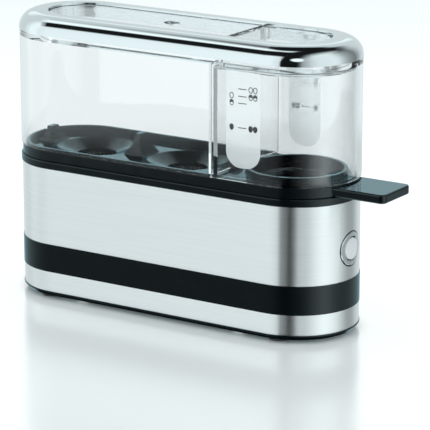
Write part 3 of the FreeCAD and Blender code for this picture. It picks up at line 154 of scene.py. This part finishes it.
# Each bare or plated metal: dark and light tone, roughness, and the size of its clouds
METALS = {
    "stainless": ((0.60, 0.62, 0.62), (0.68, 0.70, 0.70), 0.25, 2 * MM),
    "aluminium": ((0.62, 0.63, 0.64), (0.72, 0.73, 0.74), 0.38, 3 * MM),
    "element_sheath": ((0.10, 0.10, 0.11), (0.20, 0.18, 0.16), 0.45, 4 * MM),
    "plated_steel": ((0.55, 0.55, 0.52), (0.68, 0.68, 0.65), 0.3, 1.5 * MM),
}
# The factor by which a metal's roughness strays to either side
METAL_SPREAD = 1.25

# Graduation marks on the measuring cup, placed from the top and the left edge of its scale
MARK_HEIGHT = 3.1 * MM
MARK_WIDTH = 2.4 * MM
MARK_STROKE = 0.4 * MM
MARK_DEPTH = 0.04 * MM
MARK_TAPER = 0.12
MARK_STEPS = 32
LINE_CENTRE = 9.0 * MM
LINE_WIDTH = 4.6 * MM
LINE_THICKNESS = 0.4 * MM
SINGLE_EGG = 3.1 * MM
DOUBLE_EGGS = (13.6 * MM, 16.1 * MM)
# Each row: how far below the top, the filling of the single egg and that of the two eggs
MARK_ROWS = (
    (8.15 * MM, None, "open"),
    (11.65 * MM, "open", "half"),
    (14.95 * MM, "half", None),
    (26.65 * MM, "whole", "whole"),
)

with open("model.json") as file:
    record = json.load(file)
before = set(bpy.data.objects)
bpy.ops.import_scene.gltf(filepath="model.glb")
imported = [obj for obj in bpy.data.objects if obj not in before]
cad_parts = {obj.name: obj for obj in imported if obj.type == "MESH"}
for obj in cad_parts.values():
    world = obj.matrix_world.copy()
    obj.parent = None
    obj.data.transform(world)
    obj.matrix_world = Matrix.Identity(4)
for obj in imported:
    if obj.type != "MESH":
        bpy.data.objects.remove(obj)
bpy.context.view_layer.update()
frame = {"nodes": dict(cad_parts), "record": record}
nodes = frame["nodes"]


# Materials

class Paint:
    """A material on one Principled shader, with short ways to vary it over the surface."""

    def __init__(self, name, metallic=0.0):
        self.material = bpy.data.materials.new(name)
        self.material.use_nodes = True
        self.tree = self.material.node_tree
        self.shader = self.tree.nodes["Principled BSDF"]
        self.set("Metallic", metallic)

    def set(self, socket, value):
        self.shader.inputs[socket].default_value = value

    def set_colour(self, colour):
        self.set("Base Color", (*colour, 1.0))

    def add(self, kind):
        return self.tree.nodes.new(kind)

    def join(self, source, target):
        self.tree.links.new(source, target)

    def noise(self, size, stretch=(1, 1, 1), detail=3.0):
        """A noise pattern whose features are about size across, longer where stretch is above one."""
        place = self.add("ShaderNodeTexCoord")
        mapping = self.add("ShaderNodeMapping")
        texture = self.add("ShaderNodeTexNoise")
        mapping.inputs["Scale"].default_value = [1 / (size * part) for part in stretch]
        texture.inputs["Scale"].default_value = 1.0
        texture.inputs["Detail"].default_value = detail
        self.join(place.outputs["Object"], mapping.inputs["Vector"])
        self.join(mapping.outputs["Vector"], texture.inputs["Vector"])
        return texture.outputs["Fac"]

    def vary_colour(self, pattern, dark, light):
        ramp = self.add("ShaderNodeValToRGB")
        ends = ((PATTERN_LOW, dark), (PATTERN_HIGH, light))
        for stop, (position, colour) in zip(ramp.color_ramp.elements, ends):
            stop.position = position
            stop.color = (*colour, 1.0)
        self.join(pattern, ramp.inputs["Fac"])
        self.join(ramp.outputs["Color"], self.shader.inputs["Base Color"])

    def vary_roughness(self, pattern, low, high):
        spread = self.add("ShaderNodeMapRange")
        spread.inputs["From Min"].default_value = PATTERN_LOW
        spread.inputs["From Max"].default_value = PATTERN_HIGH
        spread.inputs["To Min"].default_value = low
        spread.inputs["To Max"].default_value = high
        self.join(pattern, spread.inputs["Value"])
        self.join(spread.outputs["Result"], self.shader.inputs["Roughness"])

    def bump(self, pattern, depth, edge=0.0):
        """Relief of a given depth from a pattern, over edges softened to a small radius."""
        relief = self.add("ShaderNodeBump")
        relief.inputs["Strength"].default_value = 1.0
        relief.inputs["Distance"].default_value = depth
        self.join(pattern, relief.inputs["Height"])
        self.join(relief.outputs["Normal"], self.shader.inputs["Normal"])
        if edge:
            rounding = self.add("ShaderNodeBevel")
            rounding.samples = EDGE_SAMPLES
            rounding.inputs["Radius"].default_value = edge
            self.join(rounding.outputs["Normal"], relief.inputs["Normal"])

    def brush_round(self):
        """Reflections drawn out across brushing that runs level round the body."""
        tangent = self.add("ShaderNodeTangent")
        tangent.direction_type = "RADIAL"
        tangent.axis = "Z"
        self.join(tangent.outputs["Tangent"], self.shader.inputs["Tangent"])
        self.set("Anisotropic", 1.0)
        self.set("Anisotropic Rotation", BRUSHED_TURN)


def brushed_sleeve():
    paint = Paint("brushed_sleeve", metallic=1.0)
    streaks = paint.noise(size=0.22 * MM, stretch=(200, 200, 1), detail=4.0)
    paint.vary_colour(streaks, dark=(0.88, 0.89, 0.89), light=(0.95, 0.96, 0.96))
    paint.vary_roughness(streaks, low=0.28, high=0.33)
    paint.bump(streaks, depth=0.003 * MM)
    paint.brush_round()
    return paint.material


def moulded(name, dark, light, roughness, depth=PLASTIC_GRAIN_DEPTH):
    """Smooth moulded plastic with a faint mottle and a very fine grain."""
    paint = Paint(name)
    mottle = paint.noise(MOTTLE_SIZE)
    paint.vary_colour(mottle, dark, light)
    paint.vary_roughness(mottle, roughness * (1 - PLASTIC_SPREAD), roughness * (1 + PLASTIC_SPREAD))
    paint.bump(paint.noise(GRAIN_SIZE), depth, PLASTIC_EDGE)
    return paint


def black_plastic():
    """Smoother than the other plastics, and seen through a thin cool tint."""
    paint = moulded("black_plastic", dark=(0.0012, 0.0022, 0.0026), light=(0.0018, 0.0030, 0.0034),
                    roughness=0.075, depth=0.0015 * MM)
    paint.set("Coat Weight", 1.0)
    paint.set("Coat Roughness", 0.0)
    paint.set("Coat IOR", 1.01)
    paint.set("Coat Tint", (0.90, 0.98, 1.00, 1.0))
    return paint.material


def rubber(name, dark, light):
    paint = Paint(name)
    grain = paint.noise(size=0.5 * MM)
    paint.vary_colour(grain, dark, light)
    paint.vary_roughness(grain, low=0.65, high=0.85)
    paint.bump(grain, depth=0.03 * MM, edge=0.2 * MM)
    return paint.material


def sheet_metal(name, dark, light, roughness, cloud_size):
    """Bare or plated metal with a cloudy finish."""
    paint = Paint(name, metallic=1.0)
    clouds = paint.noise(cloud_size, detail=5.0)
    paint.vary_colour(clouds, dark, light)
    paint.vary_roughness(clouds, roughness / METAL_SPREAD, roughness * METAL_SPREAD)
    paint.bump(clouds, depth=0.006 * MM, edge=0.15 * MM)
    return paint.material


def chrome():
    paint = Paint("chrome", metallic=1.0)
    paint.set_colour((0.70, 0.735, 0.745))
    haze = paint.noise(size=3 * MM, detail=5.0)
    paint.vary_roughness(haze, low=0.04, high=0.07)
    ripple = paint.noise(size=14 * MM, detail=1.0)
    paint.bump(ripple, depth=0.003 * MM)
    return paint.material


def clear_plastic():
    paint = Paint("clear_plastic")
    paint.set_colour((0.985, 0.990, 0.992))
    paint.set("Transmission Weight", 1.0)
    paint.set("IOR", 1.49)
    flow = paint.noise(size=20 * MM, detail=1.0)
    paint.vary_roughness(flow, low=0.0, high=0.02)
    paint.bump(flow, depth=0.01 * MM)
    return paint.material


def frosted_film():
    paint = Paint("frosted_film")
    paint.set("Transmission Weight", 0.6)
    paint.set("IOR", 1.2)
    paint.set("Alpha", 0.6)
    grain = paint.noise(size=0.12 * MM)
    paint.vary_colour(grain, dark=(0.87, 0.89, 0.89), light=(0.92, 0.94, 0.94))
    paint.vary_roughness(grain, low=0.85, high=1.0)
    paint.bump(grain, depth=0.004 * MM)
    return paint.material


def ink():
    """Dull black print."""
    paint = Paint("ink")
    paint.set("Roughness", 0.9)
    paint.set("Specular IOR Level", 0.0)
    grain = paint.noise(size=0.3 * MM)
    paint.vary_colour(grain, dark=(0.003, 0.003, 0.004), light=(0.006, 0.006, 0.007))
    return paint.material


def dress_nodes():
    """Gives every CAD node the material of its slot."""
    materials = {
        "brushed_sleeve": brushed_sleeve(),
        "black_plastic": black_plastic(),
        "chrome": chrome(),
        "clear_plastic": clear_plastic(),
        "frosted_film": frosted_film(),
    }
    for name, recipe in PLASTICS.items():
        materials[name] = moulded(name, *recipe).material
    for name, recipe in RUBBERS.items():
        materials[name] = rubber(name, *recipe)
    for name, recipe in METALS.items():
        materials[name] = sheet_metal(name, *recipe)
    for part in frame["record"]["subparts"]:
        slots = nodes[part["node"]].data.materials
        slots.clear()
        slots.append(materials[part["material_slot"]])


# Printed graduation marks

def egg_outline(centre_x, centre_z, inset):
    """Points round an egg with its narrow end down."""
    points = []
    for step in range(MARK_STEPS):
        turn = 2 * math.pi * step / MARK_STEPS
        half_width = (MARK_WIDTH / 2 - inset) * (1 + MARK_TAPER * math.sin(turn))
        points.append((
            centre_x + half_width * math.cos(turn),
            centre_z + (MARK_HEIGHT / 2 - inset) * math.sin(turn),
        ))
    return points


def add_print(mesh, outline, surface_y):
    """A flat printed shape with a little thickness, in front of the plane at surface_y."""
    back = [mesh.verts.new((x, surface_y, z)) for x, z in outline]
    front = [mesh.verts.new((x, surface_y - MARK_DEPTH, z)) for x, z in outline]
    mesh.faces.new(front)
    mesh.faces.new(list(reversed(back)))
    for first in range(len(outline)):
        second = (first + 1) % len(outline)
        mesh.faces.new((front[second], front[first], back[first], back[second]))


def add_ring(mesh, x, z, surface_y):
    outer = egg_outline(x, z, 0.0)
    inner = egg_outline(x, z, MARK_STROKE)
    for first in range(MARK_STEPS):
        second = (first + 1) % MARK_STEPS
        add_print(mesh, [outer[first], outer[second], inner[second], inner[first]], surface_y)


def add_egg(mesh, x, z, surface_y, filling):
    if filling == "whole":
        add_print(mesh, egg_outline(x, z, 0.0), surface_y)
        return
    add_ring(mesh, x, z, surface_y)
    if filling == "half":
        upper = egg_outline(x, z, MARK_STROKE)[:MARK_STEPS // 2 + 1]
        add_print(mesh, upper, surface_y)


def add_line(mesh, x, z, surface_y):
    half_width = LINE_WIDTH / 2
    half_height = LINE_THICKNESS / 2
    corners = [(-1, -1), (1, -1), (1, 1), (-1, 1)]
    outline = [(x + half_width * side, z + half_height * level) for side, level in corners]
    add_print(mesh, outline, surface_y)


def scale_marks():
    """The same print on the front and the rear scale, the rear one as read from behind."""
    low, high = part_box("scale_films")
    mesh = bmesh.new()
    for below, single, double in MARK_ROWS:
        z = high.z - below
        add_line(mesh, low.x + LINE_CENTRE, z, low.y)
        if single:
            add_egg(mesh, low.x + SINGLE_EGG, z, low.y, single)
        if double:
            for distance in DOUBLE_EGGS:
                add_egg(mesh, low.x + distance, z, low.y, double)
    middle = (low + high) / 2
    rear = bmesh.ops.duplicate(mesh, geom=mesh.verts[:] + mesh.edges[:] + mesh.faces[:])["geom"]
    bmesh.ops.rotate(mesh, cent=middle, matrix=Matrix.Rotation(math.pi, 3, "Z"),
                     verts=[item for item in rear if isinstance(item, bmesh.types.BMVert)])
    bmesh.ops.recalc_face_normals(mesh, faces=mesh.faces[:])
    data = bpy.data.meshes.new("scale_marks")
    mesh.to_mesh(data)
    mesh.free()
    marks = bpy.data.objects.new("scale_marks", data)
    marks.data.materials.append(ink())
    bpy.context.scene.collection.objects.link(marks)
    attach(marks, "cup")


# The spring behind the button

def return_spring():
    """Stands for the CAD spring."""
    spring = bpy.data.objects.new("return_spring", nodes["button_spring"].data.copy())
    bpy.context.scene.collection.objects.link(spring)
    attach(spring, "base")
    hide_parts("button_spring")
    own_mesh(spring)


# Studio and camera

def direction(compass, elevation):
    turn = math.radians(compass)
    rise = math.radians(elevation)
    return Vector((math.sin(turn) * math.cos(rise), -math.cos(turn) * math.cos(rise), math.sin(rise)))


def studio_camera():
    camera = bpy.data.objects.new("camera", bpy.data.cameras.new("camera"))
    camera.data.lens = LENS
    camera.data.sensor_width = SENSOR_WIDTH
    camera.location = CAMERA_PIVOT + direction(CAMERA_AZIMUTH, CAMERA_ELEVATION) * CAMERA_DISTANCE
    camera.rotation_mode = "QUATERNION"
    camera.rotation_quaternion = (AIM_POINT - camera.location).to_track_quat("-Z", "Y")
    bpy.context.scene.collection.objects.link(camera)
    bpy.context.scene.camera = camera


class Sky:
    """The world's light as a function of direction."""

    def __init__(self):
        world = bpy.data.worlds.new("studio")
        world.use_nodes = True
        world.cycles.sampling_method = "NONE"
        bpy.context.scene.world = world
        self.tree = world.node_tree
        self.background = self.tree.nodes["Background"]
        self.output = self.tree.nodes["World Output"]
        place = self.add("ShaderNodeTexCoord")
        split = self.add("ShaderNodeSeparateXYZ")
        self.join(place.outputs["Generated"], split.inputs["Vector"])
        self.x, self.y, self.z = split.outputs
        self.compass = self.angle(self.x, self.calculate("MULTIPLY", self.y, -1.0))
        self.height = self.calculate("DEGREES", self.calculate("ARCSINE", self.z))
        self.tilt = self.angle(self.z, self.y)

    def add(self, kind):
        return self.tree.nodes.new(kind)

    def join(self, source, target):
        self.tree.links.new(source, target)

    def calculate(self, operation, *values):
        node = self.add("ShaderNodeMath")
        node.operation = operation
        for socket, value in zip(node.inputs, values):
            if isinstance(value, bpy.types.NodeSocket):
                self.join(value, socket)
            else:
                socket.default_value = value
        return node.outputs["Value"]

    def angle(self, upward, onward):
        return self.calculate("DEGREES", self.calculate("ARCTAN2", upward, onward))

    def step(self, value, edge):
        """Goes from 0 at the first value of edge to 1 at the second."""
        node = self.add("ShaderNodeMapRange")
        node.interpolation_type = "SMOOTHSTEP"
        node.inputs["From Min"].default_value = edge[0]
        node.inputs["From Max"].default_value = edge[1]
        self.join(value, node.inputs["Value"])
        return node.outputs["Result"]

    def rest(self, share):
        return self.calculate("SUBTRACT", 1.0, share)

    def some(self, count):
        """1 where a count is above zero, and 0 where there are none."""
        return self.calculate("MINIMUM", count, 1.0)

    def mix(self, share, first, second):
        return self.calculate("ADD", self.calculate("MULTIPLY", self.rest(share), first),
                              self.calculate("MULTIPLY", share, second))

    def both(self, first, *others):
        for other in others:
            first = self.calculate("MULTIPLY", first, other)
        return first

    def spot(self, centre, edge):
        """1 near a direction and 0 away from it, going over between the two angles of edge."""
        share = self.calculate("MULTIPLY", self.x, centre.x)
        for along, part in ((self.y, centre.y), (self.z, centre.z)):
            share = self.calculate("ADD", share, self.calculate("MULTIPLY", along, part))
        return self.step(self.calculate("DEGREES", self.calculate("ARCCOSINE", share)), edge)

    def round_light(self, around, levels):
        """Light by compass direction, as a share of the peak."""
        ramp = self.add("ShaderNodeValToRGB")
        stops = ramp.color_ramp.elements
        while len(stops) < len(levels):
            stops.new(1.0)
        for stop, (degrees, level) in zip(stops, levels):
            share = level / LIGHT_PEAK
            stop.position = (degrees + HALF_TURN) / FULL_TURN
            stop.color = (share, share, share, 1.0)
        self.join(around, ramp.inputs["Fac"])
        return ramp.outputs["Color"]


def ring_light(sky):
    """The rings of light, one above another, as a share of the peak."""
    around = sky.calculate("DIVIDE", sky.calculate("ADD", sky.compass, HALF_TURN), FULL_TURN)
    light = NADIR_LIGHT / LIGHT_PEAK
    for edge, levels in LIGHT_RINGS:
        light = sky.mix(sky.step(sky.height, edge), light, sky.round_light(around, levels))
    return light


def hung_cards(sky):
    """What hangs in front of the rings, from the rearmost: where each card is, and its light."""
    flag = sky.both(sky.step(sky.tilt, FLAG_REAR), sky.step(sky.tilt, FLAG_FRONT),
                    sky.step(sky.x, FLAG_LEFT), sky.step(sky.x, FLAG_RIGHT))
    cross = sky.both(sky.step(sky.x, CROSS_LEFT), sky.step(sky.x, CROSS_RIGHT),
                     sky.step(sky.height, CROSS_LOW))
    behind = sky.spot(direction(BEHIND_COMPASS, BEHIND_ELEVATION), BEHIND_EDGE)
    backdrop = sky.both(sky.step(sky.height, BACKDROP_LOW), sky.step(sky.height, BACKDROP_HIGH),
                        sky.step(sky.x, BACKDROP_LEFT), sky.step(sky.x, BACKDROP_RIGHT),
                        sky.step(sky.y, BACKDROP_REAR))
    lamp = sky.spot(direction(LAMP_COMPASS, LAMP_ELEVATION), LAMP_EDGE)
    return (
        (flag, FLAG_LIGHT), (cross, FLAG_LIGHT), (behind, FLAG_LIGHT),
        (backdrop, BACKDROP_LIGHT), (lamp, LAMP_LIGHT),
    )


def plain_lights(sky):
    """The rays that meet a plain light instead: where each kind is, and its colour."""
    path = sky.add("ShaderNodeLightPath").outputs
    matt = sky.some(path["Diffuse Depth"])
    mirrored = sky.some(path["Glossy Depth"])
    through = sky.both(sky.some(path["Transmission Depth"]), sky.rest(mirrored), sky.rest(matt))
    return (matt, DOME_LIGHT), (through, THROUGH_LIGHT), (path["Is Camera Ray"], EMPTY_LIGHT)


def studio_world():
    sky = Sky()
    light = ring_light(sky)
    for share, level in hung_cards(sky):
        light = sky.mix(share, light, level / LIGHT_PEAK)
    sky.join(sky.calculate("MULTIPLY", light, LIGHT_PEAK), sky.background.inputs["Strength"])
    sky.background.inputs["Color"].default_value = (*LIGHT_TINT, 1.0)
    seen = sky.background.outputs["Background"]
    for share, colour in plain_lights(sky):
        plain = sky.add("ShaderNodeBackground")
        plain.inputs["Color"].default_value = (*colour, 1.0)
        blend = sky.add("ShaderNodeMixShader")
        sky.join(share, blend.inputs["Fac"])
        sky.join(seen, blend.inputs[1])
        sky.join(plain.outputs["Background"], blend.inputs[2])
        seen = blend.outputs["Shader"]
    sky.join(seen, sky.output.inputs["Surface"])


def floor_glare(floor):
    """A ring of upright lamps that face the middle and light nothing but the floor's shine."""
    mirrors = bpy.data.collections.new("floor_only")
    mirrors.objects.link(floor)
    for number in range(GLARE_COUNT):
        inward = direction(CAMERA_AZIMUTH + FULL_TURN * number / GLARE_COUNT, 0.0)
        lamp = bpy.data.lights.new("glare", "AREA")
        lamp.shape = "RECTANGLE"
        lamp.size, lamp.size_y = GLARE_SIZE
        lamp.energy = GLARE_POWER
        lamp.color = GLARE_TINT
        holder = bpy.data.objects.new("glare", lamp)
        holder.location = Vector((0.0, 0.0, GLARE_MIDDLE)) - inward * GLARE_DISTANCE
        holder.rotation_mode = "QUATERNION"
        holder.rotation_quaternion = inward.to_track_quat("-Z", "Y")
        holder.visible_camera = False
        holder.visible_diffuse = False
        holder.light_linking.receiver_collection = mirrors
        bpy.context.scene.collection.objects.link(holder)


def studio_floor():
    mesh = bmesh.new()
    bmesh.ops.create_grid(mesh, x_segments=1, y_segments=1, size=FLOOR_SIZE / 2)
    data = bpy.data.meshes.new("floor")
    mesh.to_mesh(data)
    mesh.free()
    floor = bpy.data.objects.new("floor", data)
    bpy.context.scene.collection.objects.link(floor)
    paint = Paint("floor")
    paint.set_colour(FLOOR_COLOUR)
    paint.set("Roughness", FLOOR_ROUGHNESS)
    paint.set("IOR", FLOOR_IOR)
    floor.data.materials.append(paint.material)
    floor.visible_glossy = False
    floor.visible_transmission = False
    floor_glare(floor)


def render_settings():
    """Plain colours, and light that can pass many clear walls."""
    scene = bpy.context.scene
    scene.view_settings.view_transform = "Standard"
    scene.cycles.max_bounces = LIGHT_BOUNCES
    scene.cycles.transmission_bounces = LIGHT_BOUNCES
    scene.cycles.glossy_bounces = LIGHT_BOUNCES
    scene.cycles.blur_glossy = 0.0


dress_nodes()
scale_marks()
return_spring()
studio_floor()
studio_world()
studio_camera()
render_settings()
